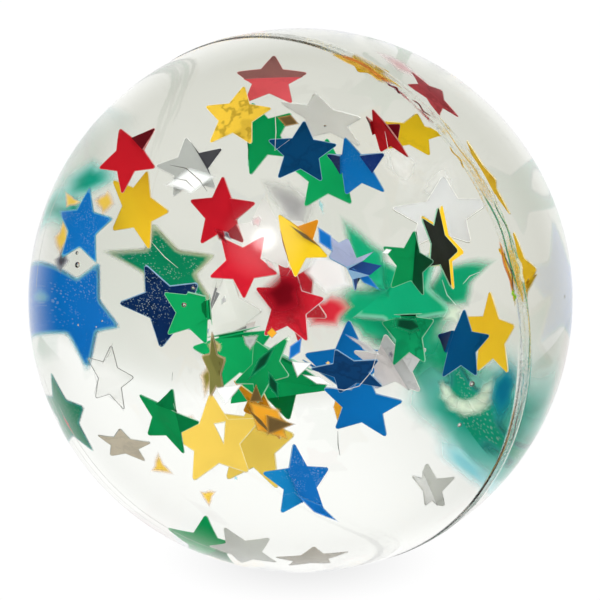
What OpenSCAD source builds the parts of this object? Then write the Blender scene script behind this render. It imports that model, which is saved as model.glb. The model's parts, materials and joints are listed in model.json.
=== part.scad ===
// Clear bouncy ball with foil stars cast inside.
// The ball is two half balls of clear rubber, bonded on an upright seam, with a narrow ground belt
// along it. Every star is a flat piece of foil, some with an arm or two creased out of the flat.
// The origin is the middle of the ball, +Z is up, and the seam lies in the XZ plane.

/* [Ball] */
// Diameter of the ball
ball_d = 45; // [44.5:0.5:60]
// Width of the belt where the seam was ground
belt_w = 1.7; // [0.8:0.1:3]
// How far the belt stands out of the ball
belt_h = 0.08; // [0.04:0.02:0.3]

/* [Foil stars] */
// Diameter of the circle through the tips of a star
star_d = 5.5; // [4:0.1:5.7]
// Diameter of the circle through the notches between its arms
notch_d = 2.65; // [2.1:0.05:2.9]
// Thickness of the foil
foil_t = 0.08; // [0.04:0.01:0.12]
// Radius at the end of each arm
tip_r = 0.13; // [0.05:0.01:0.2]

/* [Layout] */
// How far round to the right of the front the layout is seen from, in degrees
seen_round = 36; // [30:1:42]
// How far above the level the layout is seen from, in degrees
seen_up = 18.5; // [12:0.5:24]
// Distance from the eye to the middle of the ball
seen_from = 610; // [400:10:1200]

/* [Hidden] */
// How strongly the rubber bends a sight line
rubber_index = 1.5;
// Overrun of cutting shapes
over = 1;
// Straight steps in the round end of an arm
tip_steps = 2;
$fn = 72;

ball_r = ball_d / 2;
star_r = star_d / 2;
notch_r = notch_d / 2;
arms = 5;
arm_turn = 360 / arms;

// The stars, laid out as they show through the rubber. Each row holds the colour, then
// [across, up, deep]: how far right of the middle and above it the star shows, and how far along the
// bent sight line it lies below the surface, all as shares of the ball's radius. Then comes
// [lean, axis, turn] in degrees: the star leans back about an axis at that angle in its own plane,
// and its first arm points along turn. Last come its creases, [towards, share, bend, steps]: the
// angle from the first arm, how far out the fold line is as a share of the star's radius, the bend
// away from the eye, and the number of equal folds that make it.
star_shares = [
    ["red", [-0.63, 0.53, 0.45], [30, 90, 48], [[0, 0.42, 20, 1]]],
    ["red", [-0.29, 0.32, 0.48], [30, 97, 16], [[0, 0.4, 20, 1], [288, 0.5, 30, 1]]],
    ["red", [-0.21, 0.13, 0.32], [20, 10, 56], []],
    ["red", [-0.04, -0.02, 0.65], [27, 94, 11], []],
    ["red", [-0.01, 0.01, 0.95], [50, 104, 50], []],
    ["red", [-0.11, 0.81, 0.36], [30, 175, 15], [[76, 0.1, 20, 1]]],
    ["red", [0.31, 0.615, 0.15], [58, 130, 25], [[0, 0.38, 110, 1], [144, 0.42, 30, 1]]],
    ["red", [0.485, 0.755, 0.25], [60, 128, 38], []],

    ["blue", [-0.8, 0.27, 0.6], [30, 95, 10], []],
    ["blue", [-0.805, -0.03, 1.2], [55, 101, 57], []],
    ["blue", [-0.49, -0.02, 1.05], [40, 145, 40], []],
    ["blue", [0.005, 0.545, 0.32], [12, 175, 14], []],
    ["blue", [0.205, 0.49, 0.4], [40, 140, 29], [[0, 0.4, 25, 1], [144, 0.4, 25, 1]]],
    ["blue", [0.17, 0.155, 0.6], [-70, 133, 133], [[180, 0.2, 30, 2]]],
    ["blue", [0.595, -0.17, 0.38], [30, 86, 16], [[144, 0.4, 20, 1]]],
    ["blue", [0.18, -0.25, 1.03], [18, 85, 19], [[216, 0.36, 150, 1]]],
    ["blue", [0.18, -0.26, 0.52], [55, 170, 36], []],
    ["blue", [0.23, -0.385, 0.75], [40, 160, 11], []],
    ["blue", [0, -0.67, 0.62], [-45, 105, 25], [[180, 0.2, 50, 1]]],

    ["green", [-0.485, 0.12, 1.4], [45, 155, 26], []],
    ["green", [-0.395, -0.04, 0.28], [10, 60, 5], [[0, 0.44, 155, 1], [72, 0.46, 105, 1]]],
    ["green", [-0.24, -0.19, 0.8], [15, 0, 30], [[72, 0.4, 150, 1]]],
    ["green", [0.1, 0.46, 0.59], [20, 30, 20], []],
    ["green", [-0.14, 0.6, 0.6], [30, 75, 38], [[144, 0.35, 60, 1]]],
    ["green", [0.41, 0.135, 0.2], [25, 115, 10], [[343, 0.05, -25, 1]]],
    ["green", [0.37, 0.01, 1.45], [20, 45, 54], []],
    ["green", [0.4, -0.12, 0.46], [43, 90, 20], [[72, 0.42, 150, 1]]],
    ["green", [0.63, -0.4, 1.32], [55, 118, 24], []],
    ["green", [-0.49, -0.44, 0.45], [47, 125, 1], [[0, 0.36, 25, 1], [72, 0.4, 20, 1]]],
    ["green", [-0.086, -0.28, 1.18], [20, 150, 63], [[0, 0.4, 140, 1], [216, 0.25, 25, 1]]],
    ["green", [-0.13, -0.25, 0.55], [50, 60, 50], []],
    ["green", [-0.865, -0.42, 0.65], [50, 123, 27], []],
    ["green", [-0.345, -0.905, 0.5], [20, 85, 12], [[310, 0.2, 40, 1]]],
    ["green", [0.51, 0.2, 0.68], [-67, 103, 2], []],

    ["gold", [-0.595, 0.34, 0.7], [43, 109, 70], []],
    ["gold", [-0.013, 0.21, 0.2], [20, 122, 50], [[0, 0.36, 45, 1], [144, 0.36, 70, 1]]],
    ["gold", [-0.235, 0.675, 0.38], [22, 55, 11], []],
    ["gold", [0.41, 0.615, 0.44], [-50, 5, 8], []],
    ["gold", [0.68, 0.46, 0.75], [80, 122, 20], []],
    ["gold", [0.815, 0.105, 0.65], [64, 112, 17], [[288, 0.36, 150, 1]]],
    ["gold", [0.517, 0.2, 0.82], [-64, 104, 0], []],
    ["gold", [0.705, -0.13, 0.75], [52, 101, 17], []],
    ["gold", [-0.165, -0.515, 1.12], [40, 105, 10], []],
    ["gold", [-0.31, -0.515, 0.95], [20, 30, 26], []],
    ["gold", [-0.14, -0.4, 0.62], [69, 133, 64], []],
    ["gold", [-0.314, -0.25, 0.5], [70, 95, 20], []],
    ["gold", [0.24, 0.86, 0.25], [72, 150, 20], []],

    ["silver", [-0.405, 0.487, 0.4], [28, 0, 28], [[0, 0.35, -20, 1]]],
    ["silver", [0.09, 0.67, 0.85], [60, 155, 20], []],
    ["silver", [-0.26, -0.035, 1], [50, 118, 8], [[144, 0.42, 150, 1], [288, 0.42, -12, 1]]],
    ["silver", [0.52, 0.31, 1.05], [45, 10, 20], []],
    ["silver", [0.335, -0.24, 0.66], [50, 150, 20], [[0, 0.1, 40, 2]]],
    ["silver", [-0.7, -0.285, 0.2], [35, 105, 7], []],
    ["silver", [-0.65, -0.53, 0.2], [-58, 2, 21], []],
    ["silver", [-0.21, -0.92, 0.3], [-21, 150, 41], []],
    ["silver", [0.04, -0.95, 0.3], [60, 10, 20], []],
    ["silver", [0.475, -0.695, 0.25], [70, 120, 20], [[0, 0.1, 40, 1]]],
    ["silver", [-0.135, 0.23, 0.8], [25, 30, 20], []]
];

stars = len(star_shares);
star_counts = [for (i = [0 : stars - 1]) len([for (k = [0 : i]) if (colour(k) == colour(i)) k])];
star_names = [for (i = [0 : stars - 1]) str(colour(i), "_star_", star_counts[i])];

function colour(i) = star_shares[i][0];
function paint(name) =
    name == "red" ? [0.72, 0.04, 0.12] :
    name == "blue" ? [0.02, 0.22, 0.58] :
    name == "green" ? [0, 0.5, 0.3] :
    name == "gold" ? [0.92, 0.72, 0.12] : [0.78, 0.78, 0.78];

// Where a star lies. The eye sees the ball's edge at edge_angle off the middle, and a sight line a
// share of that off axis. It meets the ball entry degrees round from the eye, and the rubber bends it
// by the difference of the angles outside and inside.
edge_angle = asin(ball_r / seen_from);
function off_axis(at) = atan(norm([at.x, at.y]) * tan(edge_angle));
function outside(at) = asin(sin(off_axis(at)) * seen_from / ball_r);
function entry(at) = outside(at) - off_axis(at);
function bent(at) = entry(at) - asin(sin(outside(at)) / rubber_index);
function clock(at) = atan2(at.y, at.x);
function out_from_axis(at) = ball_r * (sin(entry(at)) - at.z * sin(bent(at)));
function towards_eye(at) = ball_r * (cos(entry(at)) - at.z * cos(bent(at)));

// Points of a star: a notch, then the round end of the next arm, five times
flank = atan2(notch_r * sin(arm_turn / 2), star_r - notch_r * cos(arm_turn / 2));
tip_mid = star_r - tip_r / sin(flank);
function round_end(turn) = [
    for (k = [0 : tip_steps])
        let (a = (90 - flank) * (2 * k / tip_steps - 1))
        [tip_mid * cos(turn) + tip_r * cos(turn + a), tip_mid * sin(turn) + tip_r * sin(turn + a)]
];
star_points = [
    for (k = [0 : arms - 1])
        let (turn = k * arm_turn, notch = turn - arm_turn / 2)
        each concat([[notch_r * cos(notch), notch_r * sin(notch)]], round_end(turn))
];

// The stretch of a star between two lines square to the direction towards
module leaf(towards, low, high) {
    translate([0, 0, -foil_t / 2])
    linear_extrude(foil_t)
    intersection() {
        polygon(star_points);
        rotate(towards)
        translate([low, -star_r])
        square([high - low, 2 * star_r]);
    }
}

// How far each leaf runs past its fold line to close the outside of the fold
function lap(bend) = foil_t / 2 * tan(abs(bend) / 2);

// What lies beyond a fold line at place from, turned about it, and again at each further step
module flap(towards, from, bend, steps) {
    pitch = (star_r - from) / (steps + 1);
    rotate(towards)
    translate([from, 0, 0])
    rotate([0, bend, 0])
    translate([-from, 0, 0])
    rotate(-towards) {
        leaf(towards, from - lap(bend), steps > 1 ? from + pitch + lap(bend) : star_r);
        if (steps > 1) flap(towards, from + pitch, bend, steps - 1);
    }
}

// A star in its own plane: the flat middle, and the creased arms
module star(creases) {
    difference() {
        leaf(0, -star_r, star_r);
        for (c = creases)
            rotate(c[0])
            translate([c[1] * star_r + lap(c[2] / c[3]), -star_r, -over])
            cube([star_r, 2 * star_r, 2 * over]);
    }
    for (c = creases) flap(c[0], c[1] * star_r, c[2] / c[3], c[3]);
}

// Star i in its place in the ball
module placed_star(i) {
    at = star_shares[i][1];
    pose = star_shares[i][2];
    color(paint(colour(i)))
    rotate([90 - seen_up, 0, seen_round])
    rotate(clock(at))
    translate([out_from_axis(at), 0, towards_eye(at)])
    rotate([0, bent(at), 0])
    rotate(pose[1] - clock(at))
    rotate([-pose[0], 0, 0])
    rotate(pose[2] - pose[1])
    star(star_shares[i][3]);
}

// Half of the ball on the side of the seam that side names, 1 for the back and -1 for the front,
// with an exact pocket round every star
module half_ball(side) {
    color([0.9, 0.93, 0.9, 0.3])
    difference() {
        rotate([-90 * side, 0, 0])
        rotate_extrude()
        intersection() {
            union() {
                circle(r = ball_r);
                square([ball_r + belt_h, belt_w / 2]);
            }
            square(ball_r + over);
        }
        for (i = [0 : stars - 1])
            if (side * seam_side(star_shares[i][1]) > 0) placed_star(i);
    }
}

// Which side of the seam a star's middle lies on, above zero for the back
function seam_side(at) =
    out_from_axis(at) * (cos(clock(at)) * sin(seen_round) + sin(clock(at)) * sin(seen_up) * cos(seen_round))
    - towards_eye(at) * cos(seen_up) * cos(seen_round);

module front_half() {
    half_ball(-1);
}

module back_half() {
    half_ball(1);
}

front_half();
back_half();
for (i = [0 : stars - 1]) placed_star(i);
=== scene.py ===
"""Looks for the clear bouncy ball with foil stars: clear rubber, foil, ground seam, light and view."""

import json
import math

import bmesh
import bpy
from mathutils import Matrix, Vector
from mathutils.geometry import intersect_point_line

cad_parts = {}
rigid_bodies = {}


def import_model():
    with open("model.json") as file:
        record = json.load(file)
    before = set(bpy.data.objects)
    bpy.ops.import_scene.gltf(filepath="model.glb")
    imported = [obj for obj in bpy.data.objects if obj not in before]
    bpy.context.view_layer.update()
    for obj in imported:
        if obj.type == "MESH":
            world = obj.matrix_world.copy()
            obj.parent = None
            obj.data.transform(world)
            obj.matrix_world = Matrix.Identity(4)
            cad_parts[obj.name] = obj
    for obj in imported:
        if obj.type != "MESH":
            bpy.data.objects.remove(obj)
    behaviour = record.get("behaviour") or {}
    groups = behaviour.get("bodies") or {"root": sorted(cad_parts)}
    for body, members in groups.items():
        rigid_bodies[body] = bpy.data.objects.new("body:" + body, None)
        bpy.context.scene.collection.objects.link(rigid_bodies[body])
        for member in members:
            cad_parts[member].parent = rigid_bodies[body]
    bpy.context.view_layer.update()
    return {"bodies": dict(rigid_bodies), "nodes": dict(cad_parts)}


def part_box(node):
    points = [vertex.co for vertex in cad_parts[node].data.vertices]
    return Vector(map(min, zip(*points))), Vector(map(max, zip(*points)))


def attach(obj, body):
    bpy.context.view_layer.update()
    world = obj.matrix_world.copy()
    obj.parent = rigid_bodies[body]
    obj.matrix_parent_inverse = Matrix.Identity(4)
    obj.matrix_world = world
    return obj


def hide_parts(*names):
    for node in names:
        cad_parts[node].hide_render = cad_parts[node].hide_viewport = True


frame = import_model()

MM = 0.001
BODY = list(frame["bodies"])[0]

# The ball, and the belt round its seam. The radii come from the frame, the belt's width is the one in the
# part's source, and at each side the belt falls to the ball in a round shoulder.
FRONT_LOW, FRONT_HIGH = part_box("front_half")
BALL_R = -FRONT_LOW.y
BELT_R = FRONT_HIGH.z
BELT_W = 1.7 * MM
SHOULDER = 0.42 * MM

# How strongly the rubber bends light
RUBBER_INDEX = 1.5

# The view: how far round to the right of the front the eye is, how high, and how far from the ball
SEEN_ROUND = math.radians(36)
SEEN_UP = math.radians(18.5)
SEEN_FROM = 0.61
RIGHT = Vector((math.cos(SEEN_ROUND), math.sin(SEEN_ROUND), 0))
LEVEL = Vector((math.sin(SEEN_ROUND), -math.cos(SEEN_ROUND), 0))
TO_EYE = LEVEL * math.cos(SEEN_UP) + Vector((0, 0, math.sin(SEEN_UP)))
UP = TO_EYE.cross(RIGHT)


def view_vector(across, up, near):
    """A direction or place given as right, up and towards the eye."""
    return RIGHT * across + UP * up + TO_EYE * near


def in_rubber(across, up, deep):
    """A place in the ball: where it is seen, in radii from the middle, and how deep along the sight line.

    The sight line bends as it enters the rubber, so this is the same sum as the one the stars are laid by.
    """
    edge = math.asin(BALL_R / SEEN_FROM)
    off_axis = math.atan(math.hypot(across, up) * math.tan(edge))
    outside = math.asin(math.sin(off_axis) * SEEN_FROM / BALL_R)
    entry = outside - off_axis
    bent = entry - math.asin(math.sin(outside) / RUBBER_INDEX)
    out = BALL_R * (math.sin(entry) - deep * math.sin(bent))
    near = BALL_R * (math.cos(entry) - deep * math.cos(bent))
    clock = math.atan2(up, across)
    return view_vector(out * math.cos(clock), out * math.sin(clock), near)


class Wire:
    """A shader socket that takes part in sums, so that material maths reads as plain expressions."""

    def __init__(self, tree, socket):
        self.tree = tree
        self.socket = socket

    def maths(self, what, *values):
        """Adds a Math node, with its values or links in order."""
        node = self.tree.nodes.new("ShaderNodeMath")
        node.operation = what
        for slot, value in zip(node.inputs, values):
            connect(self.tree, value, slot)
        return Wire(self.tree, node.outputs[0])

    def __add__(self, other):
        return self.maths("ADD", self, other)

    def __radd__(self, other):
        return self.maths("ADD", other, self)

    def __sub__(self, other):
        return self.maths("SUBTRACT", self, other)

    def __rsub__(self, other):
        return self.maths("SUBTRACT", other, self)

    def __mul__(self, other):
        return self.maths("MULTIPLY", self, other)

    def __rmul__(self, other):
        return self.maths("MULTIPLY", other, self)

    def __gt__(self, other):
        return self.maths("GREATER_THAN", self, other)

    def __lt__(self, other):
        return self.maths("LESS_THAN", self, other)

    def __abs__(self):
        return self.maths("ABSOLUTE", self)


def connect(tree, value, slot):
    """Links a wire to a socket, or sets the socket's own value. A colour may be three numbers."""
    if isinstance(value, Wire):
        tree.links.new(value.socket, slot)
    elif hasattr(slot.default_value, "__len__") and len(slot.default_value) > len(value):
        slot.default_value = (*value, 1)
    else:
        slot.default_value = value


class Shader:
    """The nodes of one material, or of the surroundings."""

    def __init__(self, tree):
        self.tree = tree
        tree.nodes.clear()

    def node(self, kind, settings=None, out=0, **values):
        """Adds a node: its settings, then values or links by the socket's name or by its number, as s0."""
        made = self.tree.nodes.new("ShaderNode" + kind)
        for name, value in (settings or {}).items():
            setattr(made, name, value)
        for name, value in values.items():
            numbered = name[0] == "s" and name[1:].isdigit()
            slot = made.inputs[int(name[1:]) if numbered else name.replace("_", " ")]
            connect(self.tree, value, slot)
        return Wire(self.tree, made.outputs[out]) if made.outputs else None

    def place(self):
        """Where a point of the piece lies."""
        return self.node("TexCoord", out="Object")

    def noise(self, where, scale, detail=2, rough=0.5):
        """Cloudy noise, from 0 to 1."""
        return self.node("TexNoise", Vector=where, Scale=scale, Detail=detail, Roughness=rough)

    def between(self, value, low, high, to_low=0.0, to_high=1.0):
        """A smooth step from one result to another, as the value goes from low to high."""
        smooth = {"interpolation_type": "SMOOTHSTEP"}
        return self.node("MapRange", smooth, s0=value, s1=low, s2=high, s3=to_low, s4=to_high)

    def mix(self, share, first, second):
        """The first colour, with that share of the second."""
        return self.node("Mix", {"data_type": "RGBA"}, out=2, s0=share, s6=first, s7=second)

    def vectors(self, what, first, second=(0, 0, 0), out=0):
        """Vector maths."""
        return self.node("VectorMath", {"operation": what}, out=out, s0=first, s1=second)

    def along(self, where, way):
        """How far a point or direction reaches one way."""
        return self.vectors("DOT_PRODUCT", where, way, out="Value")

    def finish(self, surface, kind="OutputMaterial"):
        """Ends the nodes with their output."""
        self.node(kind, Surface=surface)


def material(name):
    """An empty material and its shader."""
    made = bpy.data.materials.new(name)
    made.use_nodes = True
    return made, Shader(made.node_tree)


def darker(colour, share):
    """The colour with that share of its light."""
    return [part * share for part in colour]


# The room, as light that has come through the ball shows it: brightest towards the upper right
ROOM_WHITE = (1.04, 1.04, 1.02)
ROOM_GREY = (0.76, 0.77, 0.73)
ROOM_SHADE = (0.6, 0.61, 0.58)
ROOM_EDGE = (0.38, 0.42, 0.33)
BRIGHT_WAY = RIGHT * 0.8 + UP * 0.6
EDGE_SHARE = 0.5
LEFT_EDGE_SHARE = 0.3

# Where the room changes, by how far a direction points that way: where each change starts and ends
WHITE_ZONE = (-0.45, 0.25)
SHADE_ZONE = (-0.4, -0.75)
EDGE_ZONE = (0.72, 1.0)
LEFT_EDGE_ZONE = (-0.66, -0.86)
LAMP_ZONE = (-0.2, 0.6)
FAR_ZONE = (-0.55, -0.95)

# How strong the lights are: the page behind the ball, the lamps near the eye on rubber and on foil, and the
# key lamp that the ball's skin mirrors, with its halo. The way to the key lamp is right, up and near.
WHITE = (1, 1, 1)
PAGE_LIGHT = 1.02
LAMPS_ON_RUBBER = 0.15
LAMPS_ON_FOIL = 2.4
KEY_LIGHT = 14
HALO_LIGHT = 1.6
KEY_WAY = view_vector(-0.251, 0.427, 0.866)

# A count of bounces above this is one or more
NONE_YET = 0.5


def cone(degrees):
    """The least reach along a cone's axis of a direction inside the cone."""
    return math.cos(math.radians(degrees))


def room_tone(shader, way):
    """White towards the upper right, grey to the left and low, and darker far to the left."""
    side = shader.along(way, BRIGHT_WAY)
    tone = shader.mix(shader.between(side, *WHITE_ZONE), ROOM_GREY, ROOM_WHITE)
    return shader.mix(shader.between(side, *SHADE_ZONE), tone, ROOM_SHADE)


def surround():
    """The studio: a white page to the eye, a bright room through the ball, a dark near side in its gloss.

    Lamps near the eye light the foil, so the near side is brighter for light that the foil spreads.
    """
    world = bpy.data.worlds.new("studio")
    bpy.context.scene.world = world
    world.use_nodes = True
    shader = Shader(world.node_tree)
    way = shader.node("TexCoord", out="Generated")
    near = shader.along(way, TO_EYE)
    across = shader.along(way, RIGHT)
    edges = shader.between(abs(across), *EDGE_ZONE) * EDGE_SHARE
    left_edge = shader.between(across, *LEFT_EDGE_ZONE) * LEFT_EDGE_SHARE
    tone = shader.mix(edges + left_edge, room_tone(shader, way), ROOM_EDGE)
    on_foil = shader.node("LightPath", out="Diffuse Depth") > NONE_YET
    lamps = shader.between(near, *LAMP_ZONE) * (LAMPS_ON_RUBBER + on_foil * LAMPS_ON_FOIL)
    through = shader.node("Background", Color=tone, Strength=1.0 + lamps)
    to_key = shader.along(way, KEY_WAY)
    key = shader.between(to_key, cone(9), cone(0.5))
    halo = shader.between(to_key, cone(20), cone(3))
    mirrored = shader.between(near, *FAR_ZONE) + key * key * KEY_LIGHT + halo * HALO_LIGHT
    gloss = shader.node("Background", Color=WHITE, Strength=mirrored)
    page = shader.node("Background", Color=WHITE, Strength=PAGE_LIGHT)
    passed = shader.node("LightPath", out="Transmission Depth") > NONE_YET
    to_eye = shader.node("LightPath", out="Is Camera Ray")
    inside = shader.node("MixShader", s0=passed, s1=gloss, s2=through)
    shader.finish(shader.node("MixShader", s0=to_eye, s1=inside, s2=page), "OutputWorld")


def rubber_body(shader, tone, roughness, bump):
    """Ends a material as clear rubber with the tone, roughness and bump of its skin."""
    body = shader.node(
        "BsdfPrincipled",
        Base_Color=tone,
        Roughness=roughness,
        IOR=RUBBER_INDEX,
        Transmission_Weight=1.0,
        Normal=bump,
    )
    shader.finish(body)


def clear_rubber(name):
    """Clear rubber with a faint green cast and a hardly uneven skin."""
    made, shader = material(name)
    fine = shader.noise(shader.place(), scale=900, detail=3, rough=0.6)
    slow = shader.noise(shader.place(), scale=160)
    tone = shader.mix(fine * 0.2, (0.985, 0.995, 0.975), (0.97, 0.985, 0.96))
    bump = shader.node("Bump", Strength=0.03, Distance=0.02 * MM, Height=fine + slow * 2)
    rubber_body(shader, tone, 0.0, bump)
    return made


def ground_seam(name):
    """The belt where the seam was ground: clear rubber drawn with frosted streaks along the seam."""
    made, shader = material(name)
    drawn_out = shader.node("Mapping", Vector=shader.node("UVMap"), Scale=(1, 9, 1))
    streaks = shader.noise(drawn_out, scale=260, detail=4, rough=0.7)
    flecks = shader.noise(shader.place(), scale=3200, detail=3, rough=0.6)
    scuffed = shader.between(streaks * 0.6 + flecks * 0.4, 0.42, 0.62)
    tone = shader.mix(scuffed, (0.97, 0.99, 0.96), (0.86, 0.92, 0.85))
    bump = shader.node("Bump", Strength=0.7, Distance=0.05 * MM, Height=streaks + flecks * 0.6)
    rubber_body(shader, tone, scuffed * 0.35, bump)
    return made


# Foil: the colour of its pits, how far its tint drifts, and how metallic most foil and pale foil looks
PIT_TINT = (0.6, 0.72, 0.75)
DRIFT_SHARE = 0.35
METAL = 0.35
PALE_METAL = 0.1

# The share of each part of a colour in its mean
MEAN = (0.333, 0.333, 0.333)


def painted_fold_shade(shader, where, tone, deep, folds):
    """Paints shade over the foil: thin dark lines along its creases, and broader darker patches."""
    crest = shader.noise(where, scale=230, detail=4, rough=0.62)
    line = shader.between(abs(crest - 0.5), 0.03, 0.0)
    shade = shader.between(shader.noise(where, scale=330, detail=3), 0.52, 0.6)
    tone = shader.mix(line * folds, tone, darker(deep, 0.25))
    return shader.mix(shade * (folds * 0.7), tone, darker(deep, 0.5))


def pit_dots(shader, where, tone, pits):
    """Scatters fine pale pits over the foil, in patches."""
    spots = shader.node("TexVoronoi", Vector=where, Scale=9000, out="Distance")
    dots = (spots < 0.3) * shader.between(shader.noise(where, scale=900), 0.4, 0.6)
    return shader.mix(dots * pits, tone, PIT_TINT)


def foil(name, colour, deep, pits=0.0, folds=0.0, fringe=None, cover=1.0, metal=METAL):
    """Metallised foil: a tint that drifts a little, with pale pits and dark fold lines where they are set.
    The fold lines and their broader patches are painted shade.

    With fringe, the foil fades out towards its outline through that colour, as a deep star is seen.
    """
    made, shader = material(name)
    where = shader.place()
    drift = shader.noise(where, scale=260)
    tone = shader.mix(shader.between(drift, 0.35, 0.7) * DRIFT_SHARE, colour, deep)
    if folds:
        tone = painted_fold_shade(shader, where, tone, deep, folds)
    if pits:
        tone = pit_dots(shader, where, tone, pits)
    crinkle = shader.noise(where, scale=480, detail=3, rough=0.55)
    bump = shader.node("Bump", Strength=0.2, Distance=0.05 * MM, Height=crinkle)
    if fringe:
        stored = shader.node("VertexColor", {"layer_name": "inward"})
        inward = shader.along(stored, MEAN) + (drift - 0.5) * 0.5
        tone = shader.mix(shader.between(inward, 0.35, 0.95), fringe, tone)
        cover = shader.between(inward, 0.02, 0.75)
    body = shader.node(
        "BsdfPrincipled",
        Base_Color=tone,
        Metallic=metal,
        Roughness=shader.between(crinkle, 0.3, 0.7, 0.33, 0.43),
        Specular_IOR_Level=0.0,
        Alpha=cover,
        Normal=bump,
    )
    shader.finish(body)
    return made


def cut_edge(name, colour):
    """A fine line in the ball, such as the pale one along the cut edge of the foil, a painted edge
    highlight.
    """
    made, shader = material(name)
    drift = shader.noise(shader.place(), scale=900)
    tone = shader.mix(drift, colour, darker(colour, 0.7))
    shader.finish(shader.node("BsdfPrincipled", Base_Color=tone, Roughness=0.35, Metallic=0.3))
    return made


def show(name, mesh, finishes, replaced=()):
    """Makes a piece of the ball from a mesh, riding on the ball's one body."""
    piece = bpy.data.objects.new(name, mesh)
    bpy.context.scene.collection.objects.link(piece)
    for finish in finishes:
        mesh.materials.append(finish)
    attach(piece, BODY)
    if replaced:
        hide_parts(*replaced)


def finished_mesh(bm, name):
    """The mesh that was worked on, as one that a piece can take."""
    mesh = bpy.data.meshes.new(name)
    bm.to_mesh(mesh)
    bm.free()
    return mesh


def ball_profile():
    """The ball's outline along the axis across the seam: pairs of place and radius, without the poles."""
    steps = 140
    shoulder_steps = 8
    half = BELT_W / 2
    flat = half - SHOULDER
    profile = [(0.0, BELT_R), (flat * 0.5, BELT_R)]
    for k in range(shoulder_steps + 1):
        share = k / shoulder_steps
        y = flat + SHOULDER * share
        lift = (BELT_R - BALL_R) * (1 + math.cos(math.pi * share)) / 2
        profile.append((y, math.sqrt(BALL_R * BALL_R - y * y * share) + lift))
    edge = math.asin(half / BALL_R)
    for k in range(1, steps):
        a = edge + (math.pi / 2 - edge) * k / steps
        profile.append((BALL_R * math.sin(a), BALL_R * math.cos(a)))
    return [(-y, r) for y, r in profile[:0:-1]] + profile


def ball_mesh():
    """The whole outside of the ball, turned about the axis across the seam, with its finish on the belt."""
    rounds = 288
    hair = 1e-9
    belt_side = BELT_W / 2 + hair
    rows = ball_profile()
    turns = [2 * math.pi * k / rounds for k in range(rounds)]
    bm = bmesh.new()
    sheet = bm.loops.layers.uv.new("UVMap")
    grid = []
    for y, r in rows:
        grid.append([bm.verts.new((r * math.cos(a), y, r * math.sin(a))) for a in turns])
    for j in range(len(grid) - 1):
        belt = abs(rows[j][0]) <= belt_side and abs(rows[j + 1][0]) <= belt_side
        for k in range(rounds):
            face = bm.faces.new((grid[j][k], grid[j + 1][k], grid[j + 1][k - 1], grid[j][k - 1]))
            face.smooth = True
            face.material_index = 1 if belt else 0
            for loop, step in zip(face.loops, (k, k, k - 1, k - 1)):
                loop[sheet].uv = (2 * math.pi * BALL_R * step / rounds, loop.vert.co.y)
    for side, ring in ((-1, grid[0]), (1, grid[-1])):
        pole = bm.verts.new((0, side * BALL_R, 0))
        for k in range(rounds):
            bm.faces.new((pole, ring[k], ring[k - 1])).smooth = True
    bmesh.ops.recalc_face_normals(bm, faces=bm.faces)
    return finished_mesh(bm, "clear_ball")


# A star's narrow rim, the least area that a broad face has for each length of its outline, and how closely
# two faces and two points agree that count as one
RIM_W = 0.032 * MM
BROAD = 0.045 * MM
ONE_PLANE = math.radians(1)
SAME_WAY = 0.999
ONE_POINT = 1e-7

# The order of a star's finishes
FLAT_FOIL = 0
BENT_FOIL = 1
CUT_EDGE = 2


def star_faces(node):
    """The star's own shape from the frame, its broad faces, and the way that the flat middle faces."""
    bm = bmesh.new()
    bm.from_mesh(frame["nodes"][node].data)
    bmesh.ops.remove_doubles(bm, verts=bm.verts, dist=ONE_POINT)
    bmesh.ops.dissolve_limit(bm, angle_limit=ONE_PLANE, verts=bm.verts, edges=bm.edges)
    broad = [f for f in bm.faces if f.calc_area() / f.calc_perimeter() > BROAD]
    main = max(broad, key=lambda f: f.calc_area()).normal.copy()
    return bm, broad, main


def star_mesh(node):
    """A sharp star: flat middle, bent arms, and a narrow rim inset round the outline."""
    bm, broad, main = star_faces(node)
    for face in bm.faces:
        face.material_index = CUT_EDGE
    for face in broad:
        face.material_index = FLAT_FOIL if abs(face.normal.dot(main)) > SAME_WAY else BENT_FOIL
    ring = bmesh.ops.inset_region(
        bm, faces=broad, thickness=RIM_W, use_boundary=True, use_even_offset=True
    )
    for face in ring["faces"]:
        face.material_index = CUT_EDGE
    return finished_mesh(bm, node)


def soft_star_mesh(node, width):
    """A star that fades out: cut small, with how far in from the outline each point lies, in widths."""
    pitch = 0.2 * MM
    cuts_each_side = 14
    bm, broad, main = star_faces(node)
    inside = set(broad)
    outline = []
    for edge in bm.edges:
        if len(edge.link_faces) == 2 and len(inside.intersection(edge.link_faces)) == 1:
            outline.append([v.co.copy() for v in edge.verts])
    middle = sum((v.co for v in bm.verts), Vector()) / len(bm.verts)
    first = main.orthogonal().normalized()
    for way in (first, main.cross(first)):
        for k in range(-cuts_each_side, cuts_each_side + 1):
            whole = list(bm.verts) + list(bm.edges) + list(bm.faces)
            bmesh.ops.bisect_plane(bm, geom=whole, plane_co=middle + way * pitch * k, plane_no=way)
    layer = bm.verts.layers.float_color.new("inward")
    for vert in bm.verts:
        store(vert, layer, min(gap(vert.co, ends) for ends in outline) / width)
    return finished_mesh(bm, node)


def store(vert, layer, inward):
    """Keeps with a point how far in from the outline it lies, for the foil to fade by."""
    vert[layer] = (inward, inward, inward, 1)


def gap(point, ends):
    """Least distance from a point to the stretch between two ends."""
    nearest, along = intersect_point_line(point, *ends)
    if along <= 0:
        nearest = ends[0]
    elif along >= 1:
        nearest = ends[1]
    return (point - nearest).length
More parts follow.
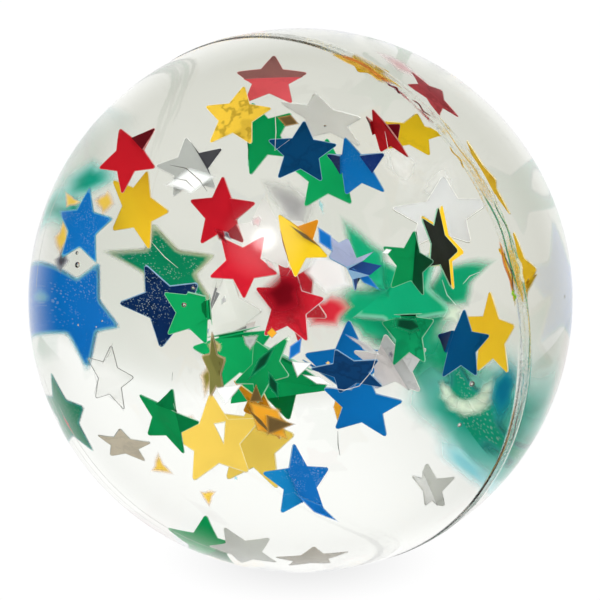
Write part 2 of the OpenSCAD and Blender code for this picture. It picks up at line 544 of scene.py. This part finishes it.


# The foil colours: the tint, the tint where it drifts darker, and the pale line of the cut edge, a painted
# edge highlight
TINTS = {
    "red": ((0.604, 0.025, 0.037), (0.42, 0.012, 0.03), (0.8, 0.3, 0.3)),
    "blue": ((0.006, 0.2, 0.62), (0.005, 0.12, 0.42), (0.25, 0.45, 0.7)),
    "green": ((0.006, 0.36, 0.11), (0.004, 0.26, 0.08), (0.3, 0.65, 0.45)),
    "gold": ((0.95, 0.6, 0.03), (0.86, 0.46, 0.015), (0.95, 0.8, 0.45)),
    "silver": ((0.753, 0.753, 0.73), (0.56, 0.56, 0.56), (0.9, 0.9, 0.88)),
}

# Foil colours that some stars and flakes have; the navy is blue foil painted dark, a painted reflection
NAVY_REFLECTION = (0.006, 0.03, 0.13)
TEAL = (0.05, 0.42, 0.4)
PEACH = (0.86, 0.62, 0.4)
CYAN = (0.2, 0.6, 0.78)
MINT = (0.3, 0.72, 0.55)
LINE_GREY = (0.3, 0.3, 0.3)
SAGE = (0.7, 0.76, 0.5)


class Look:
    """How the foil of one star looks: its flat colour, and how strong its pits and painted fold shade are.

    The flat colour is the foil's tint with painted reflection, set darker or paler by what the star
    mirrors.
    A sharp star also has the colour of its bent arms, which holds painted reflection and shade too, how
    much its foil covers, and the colour of its rim, the cut edge, painted pale as an edge highlight, where
    that isn't the usual one. A soft star fades out instead, through the fringe colour, in a band that is
    soft millimetres wide.
    """

    def __init__(self, flat, arms=None, pits=0.0, folds=0.0, soft=0.0, fringe=None, rim=None, cover=1.0):
        self.flat = flat
        self.arms = arms
        self.pits = pits
        self.folds = folds
        self.soft = soft
        self.fringe = fringe
        self.rim = rim
        self.cover = cover


# Each star's own look. Its flat and bent-arm colours are its foil's tint with painted reflection and shade:
# stars of one foil, and the arms against the middle, are set darker or paler by what each face mirrors.
LOOKS = {
    "red_star_1": Look((0.64, 0.014, 0.026), (0.1, 0.006, 0.01)),
    "red_star_2": Look((0.6, 0.012, 0.026), (0.4, 0.01, 0.02)),
    "red_star_3": Look((0.6, 0.014, 0.03), (0.45, 0.02, 0.03), folds=0.1),
    "red_star_4": Look((0.8, 0.022, 0.045), (0.4, 0.01, 0.02), pits=0.1, folds=0.25, rim=(1, 0.7, 0.75)),
    "red_star_5": Look((0.7, 0.03, 0.05), (0.4, 0.01, 0.02), pits=0.2, rim=(0.95, 0.6, 0.6)),
    "red_star_6": Look((1, 0.14, 0.17), (0.36, 0.15, 0.14), folds=0.08),
    "red_star_7": Look((0.6, 0.012, 0.02), (0.16, 0.004, 0.01), folds=0.2),
    "red_star_8": Look((0.62, 0.09, 0.12), (0.4, 0.05, 0.07), folds=0.3),
    "blue_star_1": Look((0.008, 0.19, 0.64), pits=0.2, soft=0.2, fringe=CYAN),
    "blue_star_2": Look((0.004, 0.2, 0.72), pits=0.25, soft=0.3, fringe=CYAN),
    "blue_star_3": Look(NAVY_REFLECTION, (0.01, 0.02, 0.05), pits=0.6, folds=0.3),
    "blue_star_4": Look((0.004, 0.055, 0.16), NAVY_REFLECTION, folds=0.2),
    "blue_star_5": Look((0.007, 0.2, 0.62), (0.008, 0.03, 0.16), pits=0.08),
    "blue_star_6": Look((0.4, 0.45, 0.68), (0.01, 0.08, 0.36), folds=0.1),
    "blue_star_7": Look((0.004, 0.095, 0.27), NAVY_REFLECTION, folds=0.3),
    "blue_star_9": Look((0.006, 0.07, 0.24), NAVY_REFLECTION, folds=0.3),
    "blue_star_11": Look((0.008, 0.15, 0.5), (0.01, 0.24, 0.6), pits=0.3),
    "green_star_1": Look((0.006, 0.36, 0.16), pits=0.5, soft=0.4, fringe=SAGE),
    "green_star_6": Look((0.006, 0.32, 0.1), (0.004, 0.1, 0.04), folds=0.1),
    "green_star_7": Look((0.008, 0.42, 0.2), soft=0.4, fringe=MINT),
    "green_star_8": Look((0.008, 0.4, 0.16), (0.004, 0.03, 0.014), folds=0.4),
    "green_star_9": Look((0.01, 0.4, 0.25), pits=0.4, soft=0.5, fringe=TEAL),
    "green_star_13": Look((0.01, 0.3, 0.16), pits=0.2, soft=0.3, fringe=TEAL),
    "green_star_15": Look((0.008, 0.012, 0.008), (0.01, 0.06, 0.03), folds=0.2),
    "gold_star_2": Look((0.98, 0.64, 0.02), (0.6, 0.22, 0.01)),
    "gold_star_3": Look((0.78, 0.5, 0.05), (0.95, 0.65, 0.04), folds=0.5),
    "gold_star_4": Look((0.98, 0.64, 0.02), (0.6, 0.26, 0.01), folds=0.08),
    "gold_star_9": Look((1, 0.71, 0.13), (0.85, 0.55, 0.08)),
    "gold_star_10": Look((0.8, 0.55, 0.1), (0.85, 0.55, 0.08)),
    "gold_star_11": Look((0.8, 0.32, 0.01), (0.12, 0.05, 0.01), folds=0.45, rim=(0.98, 0.85, 0.45)),
    "gold_star_12": Look((0.3, 0.28, 0.08), folds=0.5, soft=0.25, fringe=PEACH),
    "silver_star_1": Look((0.36, 0.37, 0.36), (0.06, 0.06, 0.07)),
    "silver_star_2": Look((1, 1, 1), (1, 1, 1), cover=0.6),
    "silver_star_3": Look((1, 1, 1), (0.3, 0.3, 0.32)),
    "silver_star_4": Look((0.72, 0.73, 0.76), (0.5, 0.5, 0.5), cover=0.5),
    "silver_star_5": Look((0.86, 0.8, 0.82), (0.6, 0.6, 0.62), folds=0.15),
    "silver_star_6": Look((1, 1, 1), (0.9, 0.9, 0.9), rim=LINE_GREY, cover=0.2),
    "silver_star_7": Look((0.95, 0.84, 0.7), (0.5, 0.46, 0.36), folds=0.12),
    "silver_star_8": Look((0.55, 0.56, 0.54), (0.42, 0.43, 0.41)),
    "silver_star_9": Look((0.45, 0.42, 0.38), (0.3, 0.28, 0.25)),
    "silver_star_10": Look((1, 1, 1), (0.7, 0.71, 0.69), folds=0.12, cover=0.45),
    "silver_star_11": Look((0.84, 0.82, 0.82), (0.7, 0.7, 0.72), cover=0.7),
}


def dress_star(node):
    """Puts the foil piece in place of one star of the frame."""
    tint = node.split("_")[0]
    colour, deep, rim = TINTS[tint]
    metal = PALE_METAL if tint in ("gold", "silver") else METAL
    look = LOOKS.get(node)
    if look:
        deep = darker(look.flat, 0.7)
    else:
        # A star without its own look gets bent arms at 0.6 of its tint: painted shade on the arms.
        look = Look(colour, darker(colour, 0.6))
    marks = {"pits": look.pits, "folds": look.folds, "metal": metal}
    name = node + " foil"
    if look.soft:
        mesh = soft_star_mesh(node, look.soft * MM)
        finishes = [foil(name, look.flat, deep, fringe=look.fringe, **marks)]
    else:
        mesh = star_mesh(node)
        finishes = [
            foil(name, look.flat, deep, cover=look.cover, **marks),
            # The bent arms get a copy of the foil in their own colour, with its painted reflection and
            # shade.
            foil(node + " bent foil", look.arms, darker(look.arms, 0.7), **marks),
            # The cut edge, painted pale as an edge highlight unless the look gives its own line
            cut_edge(node + " cut edge", look.rim or rim),
        ]
    show(node.replace("star", "foil_star"), mesh, finishes, (node,))


# Torn flakes of foil in the rubber; three are painted light, noted at their rows. Each group has its slot,
# its colour, the colour that it fades out through, and how sharp it is seen. Each flake has the place where
# it is seen and how deep, its length and width in millimetres, its turn in degrees, and its corners.
FLAKES = {
    "gold": ("gold_foil", (0.95, 0.64, 0.1), PEACH, 1.3, [
        (-0.718, 0.361, 0.8, 2.0, 1.3, 80, 4),
        (-0.843, 0.365, 0.9, 1.1, 1.0, 0, 3),
        (-0.876, 0.229, 0.9, 2.2, 0.8, 85, 4),
        (-0.516, -0.61, 0.5, 2.2, 2.2, 90, 3),
        (-0.34, -0.719, 0.5, 1.9, 1.7, -90, 3),
        (0.101, -0.23, 0.2, 0.4, 0.4, 0, 4),
        (-0.42, -0.46, 0.98, 2.6, 2.0, 150, 4),
    ]),
    "orange": ("gold_foil", (0.9, 0.4, 0.03), (0.7, 0.36, 0.06), 2.4, [
        (-0.105, -0.12, 0.3, 0.9, 0.9, 0, 4),
        (0.137, -0.392, 0.9, 2.0, 0.6, 90, 4),
        (-0.12, -0.44, 0.5, 4.2, 2.5, -46, 4),
    ]),
    "brown": ("gold_foil", (0.13, 0.08, 0.03), (0.4, 0.22, 0.06), 2.2, [
        (-0.09, -0.457, 0.46, 3.0, 2.0, 2, 3),
        (-0.163, -0.352, 0.46, 1.9, 1.3, 90, 3),
        (-0.15, -0.445, 0.46, 3.2, 0.35, -48, 4),
        (0.016, 0.236, 0.17, 3.4, 0.35, -36, 4),
        (-0.045, 0.66, 0.22, 2.0, 1.3, -20, 4),
    ]),
    "olive": ("gold_foil", (0.32, 0.27, 0.06), PEACH, 1.2, [
        (-0.314, -0.168, 0.6, 1.2, 1.1, 20, 5),
        (-0.34, -0.28, 0.9, 2.8, 1.2, 80, 4),
    ]),
    "teal": ("green_foil", (0.01, 0.34, 0.24), (0.2, 0.65, 0.6), 1.1, [
        (-0.78, 0.44, 1.0, 3.6, 1.4, 42, 6),
        (-0.92, 0.34, 1.0, 2.4, 1.0, 80, 4),
        (0.6, -0.42, 1.36, 5.8, 4.4, -58, 6),
        (0.72, -0.46, 1.34, 4.8, 3.2, 75, 6),
    ]),
    "green": ("green_foil", (0.008, 0.4, 0.19), (0.03, 0.45, 0.26), 1.5, [
        (0.245, 0.145, 1.47, 4.2, 2.4, 121, 4),
        (0.365, -0.06, 1.47, 6.2, 4.0, 0, 6),
        (0.27, -0.045, 1.48, 4.0, 3.4, 10, 6),
        (0.49, -0.24, 1.48, 4.6, 3.0, -52, 6),
        (0.56, 0.06, 1.46, 3.4, 2.0, 32, 4),
    ]),
    "dark_green": ("green_foil", (0.004, 0.05, 0.025), (0.01, 0.3, 0.12), 1.6, [
        # Painted shade: a dark line along a fold in the green foil
        (-0.141, -0.227, 0.3, 4.2, 0.9, 52, 4),
        (0.395, -0.09, 0.43, 3.2, 1.3, -10, 5),
        (-0.1, -0.31, 0.35, 2.6, 0.9, -70, 4),
    ]),
    "red": ("red_foil", (0.8, 0.035, 0.06), (0.9, 0.3, 0.3), 1.5, [
        (0.1, -0.04, 0.97, 3.2, 2.6, 10, 5),
        (-0.855, -0.455, 0.1, 2.4, 0.4, -57, 4),
    ]),
    "dark_red": ("red_foil", (0.16, 0.003, 0.008), (0.4, 0.008, 0.02), 1.2, [
        (-0.06, 0.025, 0.6, 4.4, 3.7, 30, 5),
        (-0.29, 0.235, 0.26, 2.2, 0.9, -48, 4),
    ]),
    "pink": ("red_foil", (0.62, 0.4, 0.42), (0.75, 0.6, 0.62), 1.0, [
        (0.37, 0.86, 0.7, 5.0, 0.9, -36, 4),
        (-0.16, 0.29, 0.3, 1.4, 1.0, 80, 5),
        (-0.11, 0.13, 0.3, 2.4, 0.5, -50, 4),
    ]),
    "cream": ("silver_foil", (0.8, 0.86, 0.72), (0.72, 0.84, 0.7), 0.75, [
        (0.687, -0.339, 1.1, 1.7, 1.0, 70, 6),
        (0.663, -0.373, 1.1, 1.8, 1.1, 40, 6),
        (0.625, -0.391, 1.1, 1.9, 1.2, 10, 6),
        (0.584, -0.387, 1.1, 1.9, 1.2, -20, 6),
        (0.549, -0.363, 1.1, 1.8, 1.1, -50, 6),
        (0.533, -0.332, 1.1, 1.7, 0.9, -75, 6),
        (0.56, -0.05, 1.1, 1.8, 1.6, 30, 4),
        (-0.046, -0.142, 0.2, 0.9, 0.8, 0, 4),
    ]),
    "white": ("silver_foil", (1, 0.98, 1), (0.95, 0.97, 1), 1.8, [
        (0.0, -0.245, 0.2, 2.2, 1.7, 20, 3),
        (0.064, -0.293, 0.2, 2.8, 0.7, -20, 4),
        (0.318, 0.18, 0.15, 0.9, 0.5, 20, 4),
        # Painted reflection: the pale lower part of the silver star there, which mirrors the white room
        (-0.406, 0.44, 0.36, 4.2, 2.4, 8, 4),
        # Painted reflection: the lamp's light mirrored by the back of the ball
        (0.1, 0.1, 0.85, 3.6, 2.6, -30, 5),
        (-0.266, -0.337, 0.35, 2.8, 1.8, 30, 3),
        (-0.292, -0.475, 0.9, 1.9, 0.9, -80, 3),
    ]),
    "grey": ("silver_foil", (0.42, 0.41, 0.43), (0.6, 0.6, 0.6), 1.2, [
        (-0.185, -0.15, 0.2, 2.3, 1.8, -90, 3),
        (-0.03, 0.35, 0.9, 4.8, 2.6, -60, 5),
        (0.24, -0.17, 0.3, 3.4, 0.8, -30, 4),
        (-0.283, 0.0, 0.25, 0.9, 0.5, 70, 4),
    ]),
    "blue": ("blue_foil", (0.008, 0.15, 0.52), (0.1, 0.3, 0.7), 2.2, [
        (0.062, -0.765, 0.5, 4.0, 0.8, -38, 4),
        (0.09, 0.225, 0.54, 2.2, 1.1, 120, 4),
        (0.24, 0.078, 0.55, 2.8, 0.7, -38, 4),
        (-0.02, -0.18, 0.3, 2.2, 1.0, 60, 4),
    ]),
    "sea_blue": ("blue_foil", (0.004, 0.15, 0.26), (0.01, 0.25, 0.3), 1.0, [
        (0.745, -0.33, 1.0, 3.6, 1.8, 80, 6),
    ]),
    "mist": ("silver_foil", (0.8, 0.8, 0.82), (0.85, 0.85, 0.86), 0.5, [
        (0.37, 0.5, 0.9, 5.5, 2.6, -35, 6),
        (0.5, 0.42, 1.1, 4.0, 2.4, 20, 6),
    ]),
    "cyan": ("blue_foil", (0.03, 0.45, 0.6), (0.35, 0.8, 0.88), 0.7, [
        (0.6, -0.6, 1.1, 4.0, 1.5, -42, 6),
        (-0.237, -0.653, 0.2, 0.6, 0.4, -60, 4),
        (0.075, 0.35, 0.9, 1.6, 0.6, -75, 4),
    ]),
    "dark": ("silver_foil", (0.08, 0.08, 0.1), (0.3, 0.3, 0.35), 1.2, [
        (-0.876, 0.148, 0.9, 1.7, 0.9, 85, 4),
        (0.332, -0.198, 0.2, 0.5, 0.6, 0, 5),
        (-0.27, 0.24, 0.25, 1.3, 0.5, -45, 4),
    ]),
}

# How a flake is cut: its rings, its spokes for each corner, and how far the outline waves of one that is
# seen less sharp than the limit. The waves start at another turn in each place.
FLAKE_RINGS = 6
FLAKE_SPOKES = 6
TORN_BELOW = 1.55
TORN_WAVE = 0.14


def flake(bm, layer, sharp, across, up, deep, length, width, turn, corners):
    """A flat flake square to the sight line, in rings, so that it fades towards its outline."""
    middle = in_rubber(across, up, deep)
    facing = (in_rubber(across, up, 0) - middle).normalized()
    sideways = UP.cross(facing).normalized()
    upright = facing.cross(sideways)
    long_way = sideways * math.cos(math.radians(turn)) + upright * math.sin(math.radians(turn))
    short_way = facing.cross(long_way)
    spokes = corners * FLAKE_SPOKES
    wave = TORN_WAVE if sharp < TORN_BELOW else 0.0
    side = math.pi / corners
    last = []
    for ring in range(1, FLAKE_RINGS + 1):
        points = []
        for k in range(spokes):
            a = 2 * math.pi * k / spokes
            reach = math.cos(side) / math.cos(a % (2 * side) - side) * ring / FLAKE_RINGS / 2 * MM
            reach *= 1 + wave * (math.sin(2 * a + 11 * across) + 0.7 * math.sin(3 * a + 9 * up))
            spot = long_way * (reach * math.cos(a) * length) + short_way * (reach * math.sin(a) * width)
            point = bm.verts.new(middle + spot)
            store(point, layer, min(1, sharp * (1 - ring / FLAKE_RINGS)))
            points.append(point)
        if last:
            for k in range(spokes):
                bm.faces.new((last[k - 1], points[k - 1], points[k], last[k]))
        else:
            bm.faces.new(points)
        last = points


def scatter_flakes():
    """One piece for the flakes of each colour."""
    for name, (slot, colour, fringe, sharp, rows) in FLAKES.items():
        bm = bmesh.new()
        layer = bm.verts.layers.float_color.new("inward")
        for row in rows:
            flake(bm, layer, sharp, *row)
        finish = foil(name + " flakes", colour, darker(colour, 0.8), fringe=fringe)
        show(name + "_flakes", finished_mesh(bm, name + "_flakes"), [finish])


# Streaks of foil ground into the seam. Each has its first and last place along the seam in degrees up from
# level, its place across the seam in half belts, and its width in millimetres.
STREAKS = {
    "gold": ("gold_foil", (0.8, 0.5, 0.08), [
        (81, 66, -0.9, 0.8), (77, 63, -0.1, 0.35), (52, 36, 0.2, 0.2), (19, 10, 0.1, 0.5),
        (47, 41, -0.8, 0.3),
    ]),
    "orange": ("gold_foil", (0.7, 0.24, 0.05), [(79, 65, -0.4, 0.6), (25, 13, -1.1, 0.5)]),
    "dark_red": ("red_foil", (0.2, 0.01, 0.02), [
        (66, 62, -0.6, 0.35), (60, 54, -0.2, 0.3), (-11, -22, 0.2, 0.2),
    ]),
    "green": ("green_foil", (0.05, 0.3, 0.16), [
        (36, 12, -0.3, 0.3), (33, 20, 0.6, 0.22), (16, -6, 0.8, 0.15), (-34, -58, 0.7, 0.3),
        (-33, -64, -0.1, 0.5), (-38, -60, 1.0, 0.4),
    ]),
    "dark_green": ("green_foil", (0.015, 0.07, 0.03), [(-36, -57, 0.3, 0.4), (-42, -66, -0.6, 0.3)]),
    "tan": ("gold_foil", (0.5, 0.32, 0.12), [(-60, -76, 0.0, 0.6), (-10, -34, -0.6, 0.25)]),
    "lime": ("green_foil", (0.3, 0.6, 0.03), [(14, 11.5, -0.9, 0.6)]),
    "cream": ("silver_foil", (1, 0.95, 0.75), [(20, 14, 0.9, 0.7), (30, 24, 0.1, 0.2)]),
    "brown": ("gold_foil", (0.16, 0.09, 0.04), [(23, 13, -0.7, 0.25), (-30, -52, 0.1, 0.12)]),
}

# How far a streak lies under the skin, how far it wanders to the side, and how fast its ends fade
STREAK_DEEP = 0.12 * MM
STREAK_WANDER = 0.12 * MM
END_FADE = 6


def streak(bm, layer, first, last, across, width):
    """A thin strip just under the belt that follows the seam and fades at its ends and sides."""
    steps = 24
    columns = (-1, -0.5, 0, 0.5, 1)
    rows = []
    for k in range(steps + 1):
        share = k / steps
        a = math.radians(first + (last - first) * share)
        wander = STREAK_WANDER * math.sin(9 * share + across * 5)
        row = []
        for c in columns:
            y = across * BELT_W / 2 + wander + c * width / 2 * MM
            r = math.sqrt(BALL_R * BALL_R - y * y) - STREAK_DEEP
            point = bm.verts.new((r * math.cos(a), y, r * math.sin(a)))
            store(point, layer, (1 - abs(c)) * min(1, END_FADE * share, END_FADE * (1 - share)))
            row.append(point)
        rows.append(row)
    for low, high in zip(rows, rows[1:]):
        for c in range(len(columns) - 1):
            bm.faces.new((low[c], low[c + 1], high[c + 1], high[c]))


def scatter_streaks():
    """One piece for the streaks of each colour."""
    for name, (slot, colour, rows) in STREAKS.items():
        bm = bmesh.new()
        layer = bm.verts.layers.float_color.new("inward")
        for row in rows:
            streak(bm, layer, *row)
        # The streaks get painted shade along fold lines.
        finish = foil(name + " streaks", colour, darker(colour, 0.6), folds=0.3, fringe=colour)
        show(name + "_streaks", finished_mesh(bm, name + "_streaks"), [finish])


# Air bubbles: where each is seen, how deep, and its diameter in millimetres
BUBBLES = [
    (-0.428, -0.017, 0.12, 0.38), (-0.395, 0.045, 0.12, 0.3), (0.584, -0.458, 0.2, 0.35),
    (-0.819, 0.13, 0.15, 0.5), (-0.821, 0.174, 0.15, 0.3), (0.63, -0.307, 0.2, 0.45),
    (-0.729, -0.076, 0.3, 0.14), (-0.817, -0.091, 0.3, 0.14), (-0.751, -0.098, 0.3, 0.12),
    (-0.67, -0.091, 0.3, 0.14), (0.97, 0.013, 0.1, 0.3), (0.09, 0.64, 0.1, 0.2),
]

# How much wider and lower than round a bubble is
BUBBLE_WIDE = 1.1
BUBBLE_TALL = 0.94


def bubble_mesh():
    """All the bubbles. Their faces look inwards, because their inside is the air."""
    bm = bmesh.new()
    for across, up, deep, size in BUBBLES:
        made = bmesh.ops.create_icosphere(bm, subdivisions=3, radius=size / 2 * MM)["verts"]
        middle = in_rubber(across, up, deep)
        for vert in made:
            vert.co = middle + Vector((vert.co.x * BUBBLE_WIDE, vert.co.y, vert.co.z * BUBBLE_TALL))
    bmesh.ops.reverse_faces(bm, faces=bm.faces)
    for face in bm.faces:
        face.smooth = True
    return finished_mesh(bm, "air_bubbles")


def rim_arc(share, first, last):
    """A flow line round inside the ball's edge, between two places on the clock face in degrees."""
    steps = 24
    turns = [math.radians(first + (last - first) * k / steps) for k in range(steps + 1)]
    return [(share * math.cos(a), share * math.sin(a)) for a in turns]


# Fine lines in the rubber: their colour, and where the points of each line are seen. The pale lines are
# painted highlights along the stars' outlines, two of the dark lines are a painted reflection in a silver
# star, and the rim lines are painted refraction, grey lines that stand in for an image bent round the edge.
FLOW_LINES = {
    # Painted highlights: pale outlines along the stars' edges
    "pale": ((1, 1, 1), [
        [(-0.689, -0.157), (-0.705, -0.2), (-0.729, -0.234)],
        [(-0.758, -0.267), (-0.747, -0.304), (-0.758, -0.344)],
        [(-0.707, -0.351), (-0.675, -0.372), (-0.648, -0.407)],
        [(0.52, 0.075), (0.538, 0.02), (0.571, -0.017)],
        [(0.597, 0.06), (0.622, 0.089), (0.659, 0.104)],
        [(0.281, -0.197), (0.262, -0.26), (0.215, -0.315), (0.16, -0.33), (0.112, -0.322)],
        [(-0.094, 0.7), (-0.09, 0.62), (-0.094, 0.55), (-0.04, 0.59)],
        [(-0.553, 0.221), (-0.5, 0.16), (-0.45, 0.119)],
        [(0.31, 0.62), (0.325, 0.54), (0.34, 0.48)],
    ]),
    "dark": ((0.08, 0.08, 0.07), [
        # Painted reflection: the curved dark band that the silver star there mirrors
        [(-0.48, 0.497), (-0.42, 0.485), (-0.37, 0.44), (-0.343, 0.4)],
        [(-0.47, 0.45), (-0.42, 0.44), (-0.39, 0.41)],
        [(-0.47, -0.265), (-0.472, -0.295)],
        [(0.137, -0.48), (0.138, -0.53), (0.145, -0.57)],
    ]),
    # Painted refraction: grey lines inside the ball's edge, standing in for an image that the edge bends
    # into view
    "rim": ((0.6, 0.6, 0.56), [
        rim_arc(0.968, 203, 258),
        rim_arc(0.984, 196, 248),
        rim_arc(0.972, 150, 178),
    ]),
}

# How deep the flow lines lie, in radii of the ball, how thick they are, and how thin their ends are
LINE_DEEP = 0.12
LINE_R = 0.035 * MM
LINE_END = 0.4


def flow_line_mesh(name, lines):
    """Thin tubes through the points of each line."""
    sides = 5
    turns = [2 * math.pi * n / sides for n in range(sides)]
    bm = bmesh.new()
    for line in lines:
        points = [in_rubber(across, up, LINE_DEEP) for across, up in line]
        last = len(points) - 1
        rings = []
        for k, point in enumerate(points):
            ahead = (points[min(k + 1, last)] - points[max(k - 1, 0)]).normalized()
            first = ahead.orthogonal().normalized()
            second = ahead.cross(first)
            thick = LINE_R if 0 < k < last else LINE_R * LINE_END
            spokes = [first * math.cos(a) + second * math.sin(a) for a in turns]
            rings.append([bm.verts.new(point + spoke * thick) for spoke in spokes])
        for low, high in zip(rings, rings[1:]):
            for n in range(sides):
                bm.faces.new((low[n - 1], low[n], high[n], high[n - 1])).smooth = True
    bmesh.ops.recalc_face_normals(bm, faces=bm.faces)
    return finished_mesh(bm, name)


# The floor: its half width, how far it lies under the belt, how wide the ball's painted shadow is, and its
# colours, with painted shade
FLOOR_REACH = 1.6
FLOOR_GAP = 0.01 * MM
SHADOW_R = 14 * MM
SHADOW = (0.8, 0.8, 0.8)
PAGE = (1.02, 1.02, 1.02)
# Painted shade: the floor seen in the ball is grey near the ball and has a dark painted shadow under it
FLOOR_SHADE_NEAR = (0.76, 0.76, 0.7)
FLOOR_LEFT = (0.62, 0.58, 0.5)
SHADOW_UNDER_BALL = (0.3, 0.32, 0.28)
LEFT_SHARE = 0.3
SHADOW_UNDER_SHARE = 0.35

# Where the floor seen in the ball turns from its left tone, and from its own tone to the room's
LEFT_ZONE = (-60 * MM, -5 * MM)
AWAY_ZONE = (30 * MM, 260 * MM)


def floor_to_eye(shader, spot):
    """The white page with the ball's soft shadow painted on it."""
    far = shader.vectors("LENGTH", spot, out="Value")
    return shader.mix(shader.between(far, 0, SHADOW_R), SHADOW, PAGE)


def floor_in_ball(shader, spot):
    """The floor as the ball shows it: painted shade near the ball, darker and warmer to the left, a
    painted shadow underneath, and the room's tone far off.
    """
    far = shader.vectors("LENGTH", spot, out="Value")
    left = shader.between(shader.along(spot, RIGHT), *LEFT_ZONE, 1, 0)
    near_shade = shader.mix(left * LEFT_SHARE, FLOOR_SHADE_NEAR, FLOOR_LEFT)
    room = room_tone(shader, shader.vectors("NORMALIZE", spot))
    lit = shader.mix(shader.between(far, *AWAY_ZONE), near_shade, room)
    return shader.mix(shader.between(far, 0, SHADOW_R, 1, 0) * SHADOW_UNDER_SHARE, lit, SHADOW_UNDER_BALL)


def stage_floor(name, light, to_eye):
    """A copy of the floor. One shows to the eye as the white page, the other only through the ball and
    in the foil, with painted shade.
    """
    bm = bmesh.new()
    bmesh.ops.create_grid(bm, x_segments=8, y_segments=8, size=FLOOR_REACH)
    bmesh.ops.translate(bm, verts=bm.verts, vec=(0, 0, -BELT_R - FLOOR_GAP))
    floor = bpy.data.objects.new(name, finished_mesh(bm, name))
    bpy.context.scene.collection.objects.link(floor)
    made, shader = material(name)
    spot = shader.vectors("MULTIPLY", shader.place(), (1, 1, 0))
    shader.finish(shader.node("Emission", Color=light(shader, spot)))
    floor.data.materials.append(made)
    floor.visible_camera = to_eye
    floor.visible_transmission = not to_eye
    floor.visible_glossy = False


# The camera: film and lens in millimetres, the nearest and furthest it sees in metres, and in pixels the
# picture's width and how far the ball's middle lies right of and above the picture's middle
FILM = 36
LENS = 442.6
NEAREST = 0.05
FURTHEST = 20
PICTURE = 600
BALL_RIGHT = 0.5
BALL_UP = -0.3


def set_camera():
    """The eye, on the sight line through the ball's middle."""
    lens = bpy.data.cameras.new("eye")
    lens.sensor_width = FILM
    lens.lens = LENS
    lens.clip_start = NEAREST
    lens.clip_end = FURTHEST
    lens.shift_x = -BALL_RIGHT / PICTURE
    lens.shift_y = -BALL_UP / PICTURE
    camera = bpy.data.objects.new("eye", lens)
    bpy.context.scene.collection.objects.link(camera)
    camera.location = TO_EYE * SEEN_FROM
    camera.rotation_euler = (-TO_EYE).to_track_quat("-Z", "Y").to_euler()
    bpy.context.scene.camera = camera
    bpy.context.scene.view_settings.view_transform = "Standard"


surround()
rubber = clear_rubber("clear rubber")
seam = ground_seam("ground seam")
show("clear_ball", ball_mesh(), [rubber, seam], ("front_half", "back_half"))
show("air_bubbles", bubble_mesh(), [rubber])
for kind, (colour, lines) in FLOW_LINES.items():
    piece_name = kind + "_flow_lines"
    finish = cut_edge(kind + " flow line", colour)
    show(piece_name, flow_line_mesh(piece_name, lines), [finish])
scatter_flakes()
scatter_streaks()
for node in sorted(frame["nodes"]):
    if node.split("_")[0] in TINTS:
        dress_star(node)
stage_floor("floor", floor_to_eye, True)
stage_floor("floor_in_ball", floor_in_ball, False)
set_camera()
